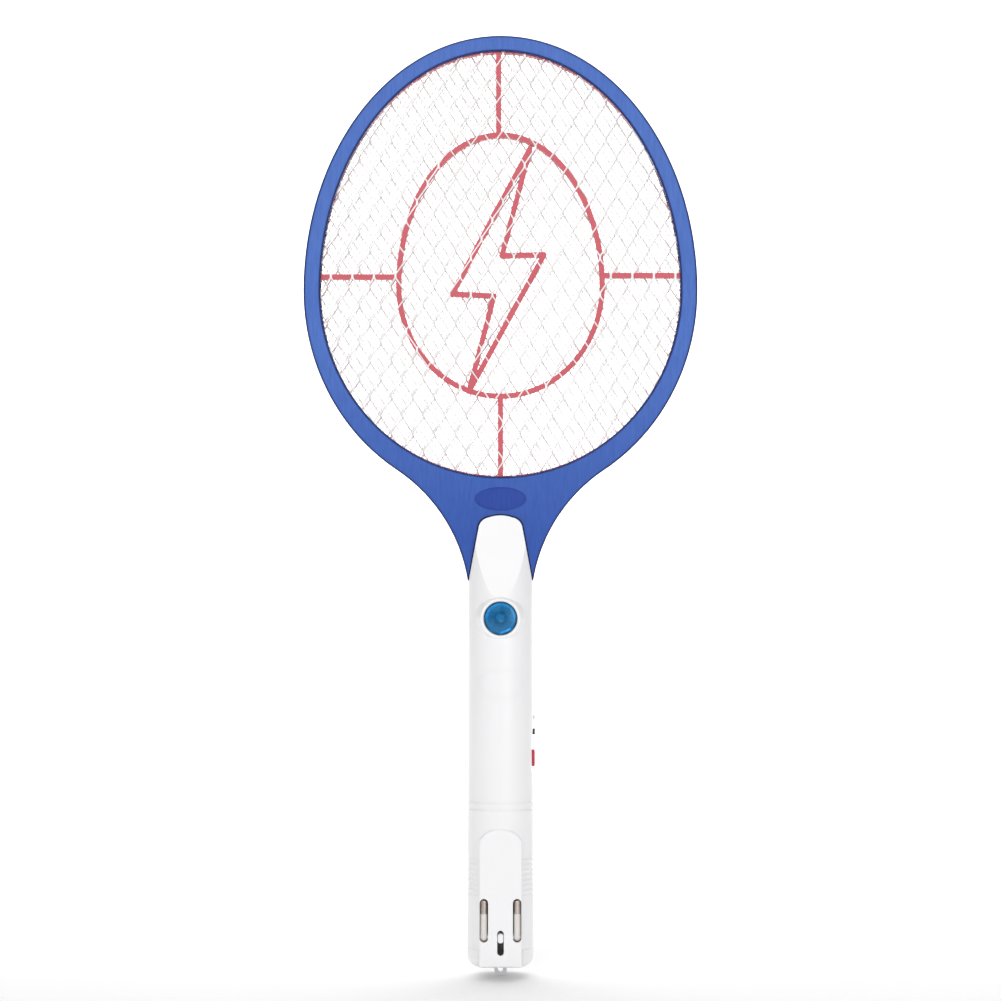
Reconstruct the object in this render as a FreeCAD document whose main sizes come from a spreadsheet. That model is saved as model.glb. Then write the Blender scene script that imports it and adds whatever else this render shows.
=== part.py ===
"""Electric fly swatter, upright as it is held: racket head up, front facing -Y, handle axis on Z.

The lowest point of the hanging lug is at z = 0 and the handle axis runs through x = y = 0.
Every driving dimension is a cell of the sheet "Sizes", in millimetres.
"""
import FreeCAD, Part
import math
import os
import Sketcher

V = FreeCAD.Vector
AXES = {"x": V(1, 0, 0), "y": V(0, 1, 0), "z": V(0, 0, 1)}
TURNS = {"x": FreeCAD.Rotation(V(0, 1, 0), 90), "y": FreeCAD.Rotation(V(1, 0, 0), -90),
         "z": FreeCAD.Rotation()}

SIZES = {
    # racket head: an egg made of an upper and a lower half ellipse, with a flared neck
    "head_half_width": 105.2, "head_centre": 365.8, "head_rise": 136.0, "head_drop": 112.7,
    "opening_half_width": 96.1, "opening_rise": 127.5, "opening_drop": 99.3,
    "neck_join_half": 55.5, "shoulder": 211.2, "frame_half_depth": 6.0, "frame_round": 1.8,
    "seat_depth": 2.4, "seat_margin": 4.0, "tang_half_width": 14.0, "tang_bottom": 190.0,
    "channel_half_width": 8.0, "badge_half_width": 13.65, "badge_half_height": 6.15,
    "badge_height": 254.6, "badge_depth": 0.5,
    # meshes and the plastic grids between them
    "mesh_thick": 0.5, "mesh_pitch_x": 11.5, "mesh_pitch_z": 19.7, "mesh_strand": 0.7,
    "mesh_origin_x": 1.4, "mesh_origin_z": 373.6, "fine_pitch_x": 2.9, "fine_pitch_z": 4.9,
    "fine_strand": 0.35, "fine_thick": 0.3, "rim_width": 3.0,
    "grid_gap": 0.1, "grid_strand": 2.8, "grid_lip": 0.5, "grid_side_back": 0.6, "ring_half_width": 54.4,
    "ring_centre": 368.5, "ring_rise": 80.5, "ring_drop": 59.0, "spoke_height": 373.2,
    # handle
    "handle_radius": 17.6, "handle_wall": 2.0, "cap_bottom": 5.0, "cap_top": 15.3,
    "tongue_top": 245.8, "tongue_half_width": 11.5, "tongue_root_half": 16.9,
    "tongue_face": 8.0, "inlay_depth": 1.4, "inlay_gap": 0.7, "slant_start": 201.0,
    "cavity_top": 198.0, "seam_gap": 0.1,
    "lamp_height": 191.4, "collar_radius": 12.9, "collar_rise": 0.8, "lens_radius": 9.0,
    "emboss_height": 155.4, "emboss_half_width": 11.6, "emboss_half_height": 6.7,
    "emboss_band": 1.3, "emboss_rise": 0.5, "groove_high": 93.4, "groove_low": 89.5, "groove_width": 1.0,
    "groove_depth": 0.5, "pad_half_width": 11.5, "pad_rise": 0.3, "pad_top": 80.3, "pad_bottom": 6.6,
    "rib_start": 44.5, "rib_pitch": 2.7, "rib_width": 1.1, "rib_count": 8,
    "scoop_radius": 145.0, "scoop_height": 118.0, "scoop_depth": 1.0,
    # controls on the right side
    "trigger_height": 116.25, "trigger_tall": 8.9, "trigger_wide": 6.4, "trigger_out": 18.4,
    "knob_height": 130.2, "knob_tall": 3.2, "knob_wide": 3.0, "knob_out": 18.6,
    "knob_travel": 3.0, "indicator_height": 138.0, "indicator_radius": 1.5,
    # folding plug
    "pin_spacing": 17.6, "pin_radius": 2.0, "pin_length": 20.0, "pivot_height": 22.2,
    "pivot_depth": 14.2, "slot_half_width": 2.25, "slot_bottom": 19.9, "slot_top": 43.0,
    "yoke_radius": 1.9, "hub_radius": 2.0, "sleeve_start": 0.2, "neck_radius": 1.5,
    "axle_radius": 1.0, "saddle_place": 5.2, "tab_width": 2.9, "tab_tall": 5.0, "tab_reach": 5.4,
    "tab_slot_half": 1.75, "tab_slot_bottom": 12.9, "tab_slot_top": 26.2,
    "lug_radius": 3.4, "lug_hole": 1.4, "lug_thick": 4.0,
    # main board and battery
    "board_face": 3.0, "board_thick": 1.6, "board_half_width": 13.8, "board_bottom": 100.5,
    "board_top": 176.0, "battery_bottom": 47.5, "battery_tall": 41.0, "battery_side": 19.6,
    "charger_face": 0.0, "charger_top": 37.5, "screw_radius": 1.3, "screw_head": 2.6,
    "boss_radius": 3.0,
}

doc = FreeCAD.newDocument("ElectricFlySwatter")
sheet = doc.addObject("Spreadsheet::Sheet", "Sizes")
for row, (alias, value) in enumerate(SIZES.items(), start=1):
    sheet.set(f"A{row}", alias.replace("_", " "))
    sheet.set(f"B{row}", str(value))
    sheet.setAlias(f"B{row}", alias)
doc.recompute()

NODES = []


def size(alias):
    return float(sheet.get(alias))


def expression(text):
    """Write a formula in sheet aliases, such as "@handle_radius - 2", as FreeCAD reads it."""
    return str(text).replace("@", "Sizes.")


def value_of(text):
    return float(sheet.evalExpression(expression(text)))


def bind(item, **formulas):
    for name, formula in formulas.items():
        item.setExpression(name.replace("__", "."), expression(formula))
    return item


def node(item, label):
    item.Label = label
    NODES.append(item)
    return item


# primitives and booleans ---------------------------------------------------------------------

def block(x, y, z):
    """A box between two formulas on each axis."""
    item = doc.addObject("Part::Box", "block")
    for side, place, (low, high) in (("Length", "x", x), ("Width", "y", y), ("Height", "z", z)):
        item.setExpression(side, expression(f"({high}) - ({low})"))
        item.setExpression(f"Placement.Base.{place}", expression(low))
    return item


def rod(radius, axis, low, high, x=0, y=0, z=0):
    """A cylinder along an axis between two formulas, through the point given by the other two."""
    item = doc.addObject("Part::Cylinder", "rod")
    item.Placement = FreeCAD.Placement(V(), TURNS[axis])
    bind(item, Radius=radius, Height=f"({high}) - ({low})")
    base = {"x": x, "y": y, "z": z}
    base[axis] = low
    for place, formula in base.items():
        item.setExpression(f"Placement.Base.{place}", expression(formula))
    return item


def ball(radius, x=0, y=0, z=0):
    item = doc.addObject("Part::Sphere", "ball")
    return bind(item, Radius=radius, Placement__Base__x=x, Placement__Base__y=y,
                Placement__Base__z=z)


def fuse(*items):
    joined = doc.addObject("Part::MultiFuse", "joined")
    joined.Shapes = list(items)
    joined.Refine = True
    return joined


def cut(base, *tools):
    result = doc.addObject("Part::Cut", "cut")
    result.Base = base
    result.Tool = tools[0] if len(tools) == 1 else fuse(*tools)
    result.Refine = True
    return result


def common(first, second):
    result = doc.addObject("Part::Common", "shared")
    result.Base = first
    result.Tool = second
    return result


def group(*items):
    result = doc.addObject("Part::Compound", "group")
    result.Links = list(items)
    return result


def rounded(base, radius, chosen):
    """Round the edges of a finished object that the test picks."""
    doc.recompute()
    edges = [i for i, edge in enumerate(base.Shape.Edges, start=1) if chosen(edge)]
    result = doc.addObject("Part::Fillet", "rounded")
    result.Base = base
    result.Edges = [(i, radius, radius) for i in edges]
    return result


def shape_of(shape, name="outline"):
    item = doc.addObject("Part::Feature", name)
    item.Shape = shape
    return item


def extruded(outline, axis, low, high):
    """Extrude a face that lies in the plane through the origin, from one formula to another."""
    result = doc.addObject("Part::Extrusion", "extruded")
    result.Base = outline
    result.DirMode = "Custom"
    result.Dir = AXES[axis]
    result.Solid = True
    return bind(result, LengthFwd=high, LengthRev=f"-({low})")


# sketched bodies -----------------------------------------------------------------------------

def sketched(body, role, points):
    """A fully constrained polygon on one of the body's planes, each corner tied to the sheet."""
    outline = body.newObject("Sketcher::SketchObject", "Sketch")
    plane = next(item for item in body.Origin.OriginFeatures if item.Role == role)
    outline.AttachmentSupport = (plane, [""])
    outline.MapMode = "FlatFace"
    corners = [(value_of(a), value_of(b)) for a, b in points]
    for first, second in zip(corners, corners[1:] + corners[:1]):
        outline.addGeometry(Part.LineSegment(V(*first, 0), V(*second, 0)), False)
    count = len(points)
    for i in range(count):
        outline.addConstraint(Sketcher.Constraint("Coincident", i, 2, (i + 1) % count, 1))
    for i, point in enumerate(points):
        for kind, axis, formula, value in zip(("DistanceX", "DistanceY"), (-2, -1), point,
                                              corners[i]):
            if value == 0:
                outline.addConstraint(Sketcher.Constraint("PointOnObject", i, 1, axis))
                continue
            index = outline.addConstraint(Sketcher.Constraint(kind, -1, 1, i, 1, value))
            outline.setExpression(f"Constraints[{index}]", expression(formula))
    return outline


def turned(points, axis="z", x=0, y=0, z=0):
    """A piece turned about its own axis: corners are (radius, place along the axis)."""
    body = doc.addObject("PartDesign::Body", "Turned")
    outline = sketched(body, "XZ_Plane", points)
    feature = body.newObject("PartDesign::Revolution", "Revolution")
    feature.Profile = outline
    feature.ReferenceAxis = (outline, ["V_Axis"])
    feature.Angle = 360
    body.Placement = FreeCAD.Placement(V(), TURNS[axis])
    for place, formula in (("x", x), ("y", y), ("z", z)):
        body.setExpression(f"Placement.Base.{place}", expression(formula))
    return body


def padded(role, points, length, offset=0):
    """A polygon padded to both sides of a plane that is moved along its own normal."""
    body = doc.addObject("PartDesign::Body", "Padded")
    outline = sketched(body, role, points)
    outline.setExpression("AttachmentOffset.Base.z", expression(offset))
    feature = body.newObject("PartDesign::Pad", "Pad")
    feature.Profile = outline
    feature.Midplane = True
    feature.setExpression("Length", expression(length))
    return body


# head outlines -------------------------------------------------------------------------------

def ellipse_half(half_width, reach, centre, side):
    """Half of an ellipse about x = 0, above (side 1) or below (side -1) the centre height."""
    return Part.Ellipse(V(0, 0, centre + side * reach), V(half_width, 0, centre), V(0, 0, centre))


def oval(half_width, rise, drop, centre, grow=0.0):
    """A closed egg outline in the XZ plane."""
    halves = []
    for side, reach in ((1, rise), (-1, drop)):
        curve = ellipse_half(half_width + grow, reach + grow, centre, side)
        halves.append(Part.ArcOfEllipse(curve, 1.5 * math.pi, 2.5 * math.pi).toShape())
    return Part.Wire(Part.__sortEdges__(halves))


def lying_oval(half_width, half_height, height):
    """An ellipse wider than tall about a point of the handle's axis, as seen from the front."""
    centre = V(0, 0, height)
    ellipse = Part.Ellipse(V(half_width, 0, height), V(0, 0, height + half_height), centre)
    return Part.Wire(ellipse.toShape())


def plate(outer, *holes):
    """A flat face inside one closed outline, less the faces given."""
    return Part.Face(outer).cut(list(holes))


def opening(grow=0.0):
    return oval(size("opening_half_width"), size("opening_rise"), size("opening_drop"),
                size("head_centre"), grow)


def head_outline():
    """The frame's outer outline: egg, tangent flares at the neck, shoulders and tang."""
    half, centre, drop = size("head_half_width"), size("head_centre"), size("head_drop")
    tang, shoulder, bottom = size("tang_half_width"), size("shoulder"), size("tang_bottom")
    upper = ellipse_half(half, size("head_rise"), centre, 1)
    lower = ellipse_half(half, drop, centre, -1)
    turn = math.asin(size("neck_join_half") / half)
    join = V(size("neck_join_half"), 0, centre - drop * math.cos(turn))
    root = V(size("handle_radius"), 0, shoulder)
    slope = math.atan2(drop * math.sin(turn), half * math.cos(turn))
    chord = join - root
    bend = (math.atan2(chord.z, chord.x) - slope) / 2
    inward = V(-chord.z, 0, chord.x).normalize()
    middle = (join + root) / 2 + inward * (chord.Length / 2 * math.tan(bend))
    edges = [Part.ArcOfEllipse(upper, 1.5 * math.pi, 2.5 * math.pi).toShape(),
             Part.ArcOfEllipse(lower, turn, 0.5 * math.pi).toShape(),
             Part.ArcOfEllipse(lower, 1.5 * math.pi, 2 * math.pi - turn).toShape()]
    for side in (1, -1):
        corners = [V(side * point.x, 0, point.z) for point in (join, middle, root)]
        edges.append(Part.Arc(*corners).toShape())
        edges.append(Part.makeLine(corners[2], V(side * tang, 0, shoulder)))
        edges.append(Part.makeLine(V(side * tang, 0, shoulder), V(side * tang, 0, bottom)))
    edges.append(Part.makeLine(V(-tang, 0, bottom), V(tang, 0, bottom)))
    return Part.Wire(Part.__sortEdges__(edges))


def on_frame(angle, inset):
    """A point on the racket frame, this far inside its outer outline."""
    reach = size("head_rise") if math.sin(angle) > 0 else size("head_drop")
    return ((size("head_half_width") - inset) * math.cos(angle),
            size("head_centre") + (reach - inset) * math.sin(angle))


SCREW_INSET = 2.9
SCREW_ANGLES = (20, 60, 120, 160, 200, 245, 295, 340)
FRAME_SCREWS = [on_frame(math.radians(angle), SCREW_INSET) for angle in SCREW_ANGLES]
NECK_SCREW = (10.2, 206.0)
SHELL_SCREWS = (41.0, 97.2, 179.4)


def frame_half(side, screw_radius):
    """One half of the racket frame; side is -1 at the front and 1 at the rear."""
    ring = shape_of(plate(head_outline(), Part.Face(opening())))
    inner, outer = ("0", "@frame_half_depth") if side > 0 else ("-@frame_half_depth", "0")
    body = extruded(ring, "y", inner, outer)
    face = side * size("frame_half_depth")
    soft = {"Part::GeomEllipse", "Part::GeomCircle"}

    def visible_rim(edge):
        box = edge.BoundBox
        flat = abs(box.YMin - face) < 1e-4 and abs(box.YMax - face) < 1e-4
        return flat and edge.Curve.TypeId in soft

    body = rounded(body, size("frame_round"), visible_rim)
    seat = shape_of(Part.Face(opening(size("seat_margin"))))
    depth = "@frame_half_depth - @seat_depth"
    lows, highs = (("0", depth) if side > 0 else (f"-({depth})", "0"))
    tools = [extruded(seat, "y", lows, highs)]
    tools.append(block(("-@channel_half_width", "@channel_half_width"), (lows, highs),
                       ("@tang_bottom", "@head_centre - @opening_drop")))
    badge = lying_oval(size("badge_half_width"), size("badge_half_height"), size("badge_height"))
    badge_face = shape_of(Part.Face(badge))
    if side < 0:
        tools.append(extruded(badge_face, "y", "-@frame_half_depth", "-@frame_half_depth + @badge_depth"))
    floor = "@frame_half_depth - @inlay_depth"
    lows, highs = (floor, "@frame_half_depth + 1")
    if side < 0:
        lows, highs = (f"-({highs})", f"-({lows})")
    tongue = extruded(shape_of(tongue_outline(size("inlay_gap"))), "y", lows, highs)
    tools.append(common(tongue, block(("-30", "30"), (lows, highs), ("@shoulder - 2 * @seam_gap", "260"))))
    for x, z in FRAME_SCREWS:
        if side > 0:
            tools.append(rod(screw_radius, "y", 0, 6, x=x, z=z))
            tools.append(rod(1.9, "y", 4.2, 6.1, x=x, z=z))
        else:
            tools.append(rod(screw_radius, "y", -4.2, 0, x=x, z=z))
    for x in (-NECK_SCREW[0], NECK_SCREW[0]):
        tools.append(rod(1.4, "y", -6.1, 6.1, x=x, z=NECK_SCREW[1]))
    return cut(body, *tools)


def build_frame():
    node(frame_half(-1, 0.9), "head_frame_front")
    node(frame_half(1, 0.9), "head_frame_rear")
    screws = []
    for x, z in FRAME_SCREWS:
        screw = turned([(0, -4.2), (0.9, -4.2), (0.9, 4.2), (1.8, 4.2), (1.8, 5.4), (0, 5.4)],
                       "y", x=x, z=z)
        slots = [block((x - 1.3, x + 1.3), (4.8, 5.5), (z - 0.2, z + 0.2)),
                 block((x - 0.2, x + 0.2), (4.8, 5.5), (z - 1.3, z + 1.3))]
        screws.append(cut(screw, *slots))
    node(group(*screws), "head_screws")


# meshes --------------------------------------------------------------------------------------

def lattice(pitch_x, pitch_z, strand, origin_x, origin_z):
    """A flat rim with diamond openings, the expanded-metal sheet of an outer grille."""
    inner = opening(size("seat_margin") - size("grid_gap") - size("rim_width"))
    field = Part.Face(inner)
    gap = 1 - strand * math.hypot(pitch_x, pitch_z) / (pitch_x * pitch_z)
    reach_x, reach_z = pitch_x / 2 * gap, pitch_z / 2 * gap
    box = field.BoundBox
    columns = int(box.XLength / pitch_x) + 2
    rows = int(box.ZLength / pitch_z) + 3
    diamonds = []
    for column in range(-columns, columns + 1):
        for line in range(-rows, rows + 1):
            x = origin_x + column * pitch_x / 2
            z = origin_z + (line + 0.5 * (column % 2 == 0)) * pitch_z
            if abs(x) > box.XMax + reach_x or not box.ZMin - reach_z < z < box.ZMax + reach_z:
                continue
            corners = [V(x, 0, z + reach_z), V(x + reach_x, 0, z), V(x, 0, z - reach_z),
                       V(x - reach_x, 0, z)]
            diamonds.append(Part.Face(Part.makePolygon(corners + corners[:1])))
    holes = field.common(Part.makeCompound(diamonds))
    rim = opening(size("seat_margin") - size("grid_gap"))
    return plate(rim, *[hole for hole in holes.Faces if hole.Area > 0.5])


def slit_sheet(pitch_x, pitch_z, strand, lean):
    """A rim crossed by parallel sloping wires: one of the two layers of the fine mesh."""
    field = Part.Face(opening(size("seat_margin") - size("grid_gap") - size("rim_width")))
    box = field.BoundBox
    slope = pitch_z / pitch_x * lean
    wide = strand * math.hypot(pitch_x, pitch_z) / pitch_z
    count = int((box.XMax + box.ZLength / abs(slope)) / pitch_x) + 1
    middle = size("head_centre")
    slits = []
    for i in range(-count, count):
        left, right = i * pitch_x + wide / 2, (i + 1) * pitch_x - wide / 2
        top, bottom = box.ZMax + 1, box.ZMin - 1
        corners = [V(left + (top - middle) / slope, 0, top), V(right + (top - middle) / slope, 0, top),
                   V(right + (bottom - middle) / slope, 0, bottom),
                   V(left + (bottom - middle) / slope, 0, bottom)]
        slits.append(Part.Face(Part.makePolygon(corners + corners[:1])))
    holes = field.common(Part.makeCompound(slits))
    rim = opening(size("seat_margin") - size("grid_gap"))
    return plate(rim, *[hole for hole in holes.Faces if hole.Area > 0.5])


def build_meshes():
    pitch_x, pitch_z, strand = size("mesh_pitch_x"), size("mesh_pitch_z"), size("mesh_strand")
    outer = "@frame_half_depth - @seat_depth"
    front = lattice(pitch_x, pitch_z, strand, size("mesh_origin_x"), size("mesh_origin_z"))
    rear = lattice(pitch_x, pitch_z, strand, size("mesh_origin_x") + 0.3 * pitch_x,
                   size("mesh_origin_z") + 0.22 * pitch_z)
    node(extruded(shape_of(front), "y", f"-({outer})", f"@mesh_thick - ({outer})"), "outer_mesh_front")
    node(extruded(shape_of(rear), "y", f"{outer} - @mesh_thick", outer), "outer_mesh_rear")
    fine = [slit_sheet(size("fine_pitch_x"), size("fine_pitch_z"), size("fine_strand"), lean)
            for lean in (1, -1)]
    layers = [extruded(shape_of(fine[0]), "y", "-@fine_thick", "0"),
              extruded(shape_of(fine[1]), "y", "0", "@fine_thick")]
    node(group(*layers), "inner_mesh")


def strip(start, end, width):
    """A flat bar with round ends between two points of the XZ plane."""
    along = V(end[0] - start[0], 0, end[1] - start[1])
    across = V(-along.z, 0, along.x).normalize() * (width / 2)
    tip = V(along).normalize() * (width / 2)
    a, b = V(start[0], 0, start[1]), V(end[0], 0, end[1])
    edges = [Part.makeLine(a + across, b + across), Part.Arc(b + across, b + tip, b - across).toShape(),
             Part.makeLine(b - across, a - across), Part.Arc(a - across, a - tip, a + across).toShape()]
    return Part.Face(Part.Wire(edges))


def grid_solid(low, high):
    """The spacer: hidden rim, egg-shaped ring, four spokes and the zigzag bolt across the ring."""
    strand, lip = size("grid_strand"), size("grid_lip")
    sight = oval(size("opening_half_width") + size("grid_side_back"), size("opening_rise") - lip,
                 size("opening_drop") - lip, size("head_centre"))
    rim = plate(opening(size("seat_margin") - size("grid_gap")), Part.Face(sight))
    ring_sizes = [size(name) for name in ("ring_half_width", "ring_rise", "ring_drop", "ring_centre")]
    ring = plate(oval(*ring_sizes, strand / 2), Part.Face(oval(*ring_sizes, -strand / 2)))
    half, rise, drop, centre = ring_sizes
    edge_x, spoke = size("opening_half_width"), size("spoke_height")
    top = size("head_centre") + size("opening_rise")
    bottom = size("head_centre") - size("opening_drop")
    bars = [((-1.0, top), (-1.0, centre + rise)), ((0, bottom), (0, centre - drop)),
            ((-edge_x, spoke), (-half, spoke)), ((edge_x, spoke + 0.8), (half, spoke + 0.8))]
    bolt = [(15.8, 442.0), (-25.9, 364.1), (-3.5, 363.0), (-16.9, 312.0), (23.3, 385.1), (0.8, 384.6)]
    bars += list(zip(bolt, bolt[1:] + bolt[:1]))
    pieces = [rim, ring] + [strip(*bar, strand) for bar in bars]
    solids = [piece.extrude(V(0, high - low, 0)) for piece in pieces]
    solid = solids[0].fuse(solids[1:]).removeSplitter()
    solid.translate(V(0, low, 0))
    return solid


def build_grids():
    near = size("fine_thick") + size("grid_gap")
    far = size("frame_half_depth") - size("seat_depth") - size("mesh_thick")
    node(shape_of(grid_solid(-far, -near)), "spacer_grid_front")
    node(shape_of(grid_solid(near, far)), "spacer_grid_rear")


def build_leads():
    """Tabs on the three meshes, and the wires that run from them down the neck."""
    rim = "@head_centre - @opening_drop - @seat_margin + @grid_gap"
    outer = "@frame_half_depth - @seat_depth"
    layers = ((-6.6, f"-({outer})", f"@mesh_thick - ({outer})"), (4.4, "-@fine_thick", "@fine_thick"),
              (6.9, f"{outer} - @mesh_thick", outer))
    tabs, leads = [], []
    for x, low, high in layers:
        tabs.append(block((x - 0.8, x + 0.8), (low, high), ("250", f"{rim} - 0.1")))
    for x, y in ((-6.6, -2.5), (4.4, 0.9), (6.9, 2.5)):
        leads.append(rod(0.6, "z", "@board_top + 0.05", 259, x=x, y=y))
    node(group(*tabs), "mesh_terminals")
    node(group(*leads), "mesh_leads")


# handle --------------------------------------------------------------------------------------

def tongue_outline(grow=0.0):
    """Front view of the handle with the tongues that clasp the racket's neck."""
    wide, root = size("handle_radius") + 2, size("tongue_root_half") + grow
    shoulder, narrow, top = size("shoulder"), size("tongue_half_width") + grow, size("tongue_top") + grow
    low = size("cap_top")
    corner = top - 5.8
    edges = [Part.makeLine(V(-wide, 0, low), V(wide, 0, low))]
    for side in (1, -1):
        edges.append(Part.makeLine(V(side * wide, 0, low), V(side * wide, 0, shoulder - 0.1)))
        edges.append(Part.makeLine(V(side * wide, 0, shoulder - 0.1), V(side * root, 0, shoulder - 0.1)))
        edges.append(Part.makeLine(V(side * root, 0, shoulder - 0.1), V(side * narrow, 0, corner)))
        edges.append(Part.Arc(V(side * narrow, 0, corner), V(side * (narrow - 1.7), 0, top - 2.9),
                              V(side * (narrow - 5.2), 0, top - 1.1)).toShape())
    crown = [V(narrow - 5.2, 0, top - 1.1), V(0, 0, top), V(5.2 - narrow, 0, top - 1.1)]
    edges.append(Part.Arc(*crown).toShape())
    return Part.Face(Part.Wire(Part.__sortEdges__(edges)))


def side_profile(side):
    """Half of the handle seen from the side, with the face that slants up to the tongue's tip."""
    lean = "(@handle_radius - @tongue_face) / (@tongue_top - @slant_start)"
    start = f"@slant_start - 1.4 / ({lean})"
    out = "(@handle_radius + 1.4)"
    points = [("0", "@cap_top"), (f"{side} * {out}", "@cap_top"), (f"{side} * {out}", start),
              (f"{side} * @tongue_face", "@tongue_top"), ("0", "@tongue_top")]
    return padded("YZ_Plane", points, 60)


def ring_groove(height, width, depth):
    low, high = f"({height}) - ({width}) / 2", f"({height}) + ({width}) / 2"
    return cut(rod("@handle_radius + 2", "z", low, high), rod(f"@handle_radius - {depth}", "z", low, high))


def shell_blank(side):
    """Half of the handle's outside: cylinder, tongue, ring grooves and grip ribs."""
    tube = rod("@handle_radius", "z", "@cap_top", "@tongue_top")
    outline = extruded(shape_of(tongue_outline()), "y", -30, 30)
    blank = common(common(tube, side_profile(side)), outline)
    grooves = [ring_groove("@groove_high", "@groove_width", "@groove_depth"),
               ring_groove("@groove_low", "@groove_width", "@groove_depth")]
    for i in range(int(size("rib_count"))):
        grooves.append(ring_groove(f"@rib_start + {i} * @rib_pitch", "@rib_width", "0.4"))
    return cut(blank, *grooves)


def shell_hollow():
    """What both shells leave open: cavity, room for the tang, and the racket's neck."""
    gap = "@seam_gap"
    cavity = rod("@handle_radius - @handle_wall", "z", "@cap_bottom + 1", "@cavity_top")
    tang = block((f"-@tang_half_width - {gap}", f"@tang_half_width + {gap}"),
                 (f"-@frame_half_depth - {gap}", f"@frame_half_depth + {gap}"),
                 ("@cavity_top - 1", f"@shoulder - {gap}"))
    thin = f"(@frame_half_depth - @inlay_depth + {gap})"
    neck = block(("-30", "30"), (f"-{thin}", thin), (f"@shoulder - {gap}", "@tongue_top + 1"))
    return [cavity, tang, neck]


def side_openings():
    """The scooped thumb rest on the right side, with its button, knob and indicator holes."""
    scoop = rod("@scoop_radius", "y", -20, 20, x="@handle_radius - @scoop_depth + @scoop_radius",
                z="@scoop_height")
    half_y, half_z = "(@trigger_wide / 2 + 0.2)", "(@trigger_tall / 2 + 0.2)"
    trigger = block(("12", "20"), (f"-{half_y}", half_y),
                    (f"@trigger_height - {half_z}", f"@trigger_height + {half_z}"))
    knob_y = "(@knob_wide / 2 + 0.2)"
    knob_z = "(@knob_tall / 2 + 0.2)"
    knob = block(("12", "20"), (f"-{knob_y}", knob_y),
                 (f"@knob_height - @knob_travel - {knob_z}", f"@knob_height + {knob_z}"))
    lamp = rod("@indicator_radius + 0.05", "x", 12, 20, z="@indicator_height")
    return [scoop, trigger, knob, lamp]


def plug_pad():
    """The flat raised pad on the lower front, arched at the top, that the plug folds into."""
    half, top, low = size("pad_half_width"), size("pad_top"), size("pad_bottom")
    corner = top - 7.0
    edges = [Part.makeLine(V(-half, 0, low), V(half, 0, low)),
             Part.makeLine(V(half, 0, low), V(half, 0, corner)),
             Part.Arc(V(half, 0, corner), V(0, 0, top), V(-half, 0, corner)).toShape(),
             Part.makeLine(V(-half, 0, corner), V(-half, 0, low))]
    outline = shape_of(Part.Face(Part.Wire(edges)))
    slab = extruded(outline, "y", "-@handle_radius - @pad_rise", "-8")
    face = size("handle_radius") + size("pad_rise")

    def front_rim(edge):
        box = edge.BoundBox
        return box.YMax < -face + 1e-3

    return rounded(slab, 1.2, front_rim)


def slot_tool(x, half_width, bottom, top):
    """A round-ended slot through the pad."""
    low, high = f"{bottom} + {half_width}", f"{top} - {half_width}"
    middle = block((f"{x} - {half_width}", f"{x} + {half_width}"), ("-22", "-8"), (low, high))
    ends = [rod(half_width, "y", -22, -8, x=x, z=z) for z in (low, high)]
    return fuse(middle, *ends)


def boss(side, x, z, reach, inner="0"):
    low, high = (inner, reach) if side > 0 else (f"-({reach})", f"-({inner})")
    return rod("@boss_radius", "y", low, high, x=x, z=z)


def saddle(place):
    """A snap-in cheek, open to the rear, that one neck of the plug's yoke turns in."""
    pivot = {"y": "-@pivot_depth", "z": "@pivot_height"}
    cheek = block((f"{place} - 0.8", f"{place} + 0.8"), ("-17", "-11.9"),
                  ("@pivot_height - @yoke_radius - 0.4", "@pivot_height + @yoke_radius + 0.4"))
    bore = rod("@neck_radius + 0.05", "x", f"{place} - 2", f"{place} + 2", **pivot)
    throat = block((f"{place} - 2", f"{place} + 2"), ("-@pivot_depth", "-11"),
                   ("@pivot_height - @neck_radius + 0.1", "@pivot_height + @neck_radius - 0.1"))
    return cut(cheek, bore, throat)


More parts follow.
